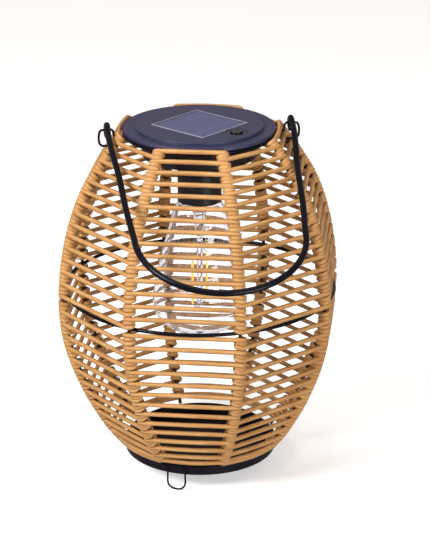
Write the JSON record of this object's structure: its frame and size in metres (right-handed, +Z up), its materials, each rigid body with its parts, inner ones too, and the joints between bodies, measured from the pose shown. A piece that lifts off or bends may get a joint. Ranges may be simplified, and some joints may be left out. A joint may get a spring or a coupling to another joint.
{
  "type": "solar lantern",
  "caption": "Hanging garden lantern: woven rattan cage on a black wire frame, lift-out solar lamp with filament bulb, swinging bail handle.",
  "frame": {"origin": "centre of the base tray's flat underside", "axes": "+Z up along the cage's axis; X along the handle's hinge pins; -Y the side the handle rests against"},
  "size_m": [0.2392, 0.2969, 0.3006],
  "materials": {
    "base_tray": "black enamel",
    "battery": "printed wrap",
    "battery_case": "fine matt moulding",
    "battery_contact_1": "satin",
    "battery_contact_2": "satin",
    "bottom_ring": "black enamel",
    "bulb_glass": "clear",
    "case_screw_1": "satin",
    "case_screw_2": "satin",
    "case_screw_3": "satin",
    "circuit_board": "solder mask",
    "filament_1": "phosphor coat",
    "filament_2": "phosphor coat",
    "filament_arm_1": "satin",
    "filament_arm_2": "satin",
    "filament_bridge": "satin",
    "filament_stem": "clear",
    "foot_1": "black enamel",
    "foot_2": "black enamel",
    "foot_3": "black enamel",
    "handle": "black enamel",
    "handle_eye_left": "black enamel",
    "handle_eye_right": "black enamel",
    "lamp_socket": "fine matt moulding",
    "lid_cover": "fine matt moulding",
    "middle_ring": "black enamel",
    "rattan_lower_1": "satin natural rattan",
    "rattan_lower_2": "satin natural rattan",
    "rattan_lower_3": "satin natural rattan",
    "rattan_lower_4": "satin natural rattan",
    "rattan_lower_5": "satin natural rattan",
    "rattan_lower_6": "satin natural rattan",
    "rattan_lower_7": "satin natural rattan",
    "rattan_lower_8": "satin natural rattan",
    "rattan_upper_1": "satin natural rattan",
    "rattan_upper_2": "satin natural rattan",
    "rattan_upper_3": "satin natural rattan",
    "rattan_upper_4": "satin natural rattan",
    "rattan_upper_5": "satin natural rattan",
    "rattan_upper_6": "satin natural rattan",
    "rattan_upper_7": "satin natural rattan",
    "rattan_upper_8": "satin natural rattan",
    "rib_1": "black enamel",
    "rib_2": "black enamel",
    "rib_3": "black enamel",
    "rib_4": "black enamel",
    "rib_5": "black enamel",
    "rib_6": "black enamel",
    "rib_7": "black enamel",
    "rib_8": "black enamel",
    "solar_cell": "dark silicon",
    "solar_glass": "clear",
    "switch_bezel": "fine matt moulding",
    "switch_body": "satin",
    "switch_button": "fine matt moulding",
    "top_ring": "black enamel"
  },
  "bodies": {
    "frame": {"base_tray": "base_tray", "bottom_ring": "bottom_ring", "foot_1": "foot_1", "foot_2": "foot_2", "foot_3": "foot_3", "handle_eye_left": "handle_eye_left", "handle_eye_right": "handle_eye_right", "middle_ring": "middle_ring", "rattan_lower_1": "rattan_lower_1", "rattan_lower_2": "rattan_lower_2", "rattan_lower_3": "rattan_lower_3", "rattan_lower_4": "rattan_lower_4", "rattan_lower_5": "rattan_lower_5", "rattan_lower_6": "rattan_lower_6", "rattan_lower_7": "rattan_lower_7", "rattan_lower_8": "rattan_lower_8", "rattan_upper_1": "rattan_upper_1", "rattan_upper_2": "rattan_upper_2", "rattan_upper_3": "rattan_upper_3", "rattan_upper_4": "rattan_upper_4", "rattan_upper_5": "rattan_upper_5", "rattan_upper_6": "rattan_upper_6", "rattan_upper_7": "rattan_upper_7", "rattan_upper_8": "rattan_upper_8", "rib_1": "rib_1", "rib_2": "rib_2", "rib_3": "rib_3", "rib_4": "rib_4", "rib_5": "rib_5", "rib_6": "rib_6", "rib_7": "rib_7", "rib_8": "rib_8", "top_ring": "top_ring"},
    "lamp_unit": {"battery": "battery", "battery_case": "battery_case", "battery_contact_1": "battery_contact_1", "battery_contact_2": "battery_contact_2", "bulb_glass": "bulb_glass", "case_screw_1": "case_screw_1", "case_screw_2": "case_screw_2", "case_screw_3": "case_screw_3", "circuit_board": "circuit_board", "filament_1": "filament_1", "filament_2": "filament_2", "filament_arm_1": "filament_arm_1", "filament_arm_2": "filament_arm_2", "filament_bridge": "filament_bridge", "filament_stem": "filament_stem", "lamp_socket": "lamp_socket", "lid_cover": "lid_cover", "solar_cell": "solar_cell", "solar_glass": "solar_glass", "switch_bezel": "switch_bezel", "switch_body": "switch_body"},
    "button": {"switch_button": "switch_button"},
    "bail": {"handle": "handle"}
  },
  "joints": [
    {"name": "handle_swing", "type": "hinge", "parent": "frame", "child": "bail", "pos_m": [0, 0, 0.281], "axis": [-1, 0, 0], "range_deg": [0, 206]},
    {"name": "lamp_lift", "type": "slide", "parent": "frame", "child": "lamp_unit", "axis": [0, 0, 1], "range_m": [0, 0.205]},
    {"name": "switch_press", "type": "slide", "parent": "lamp_unit", "child": "button", "axis": [0, 0, -1], "range_m": [0, 0.0014], "stiffness_N_per_m": 300, "springref_m": -0.001}
  ]
}
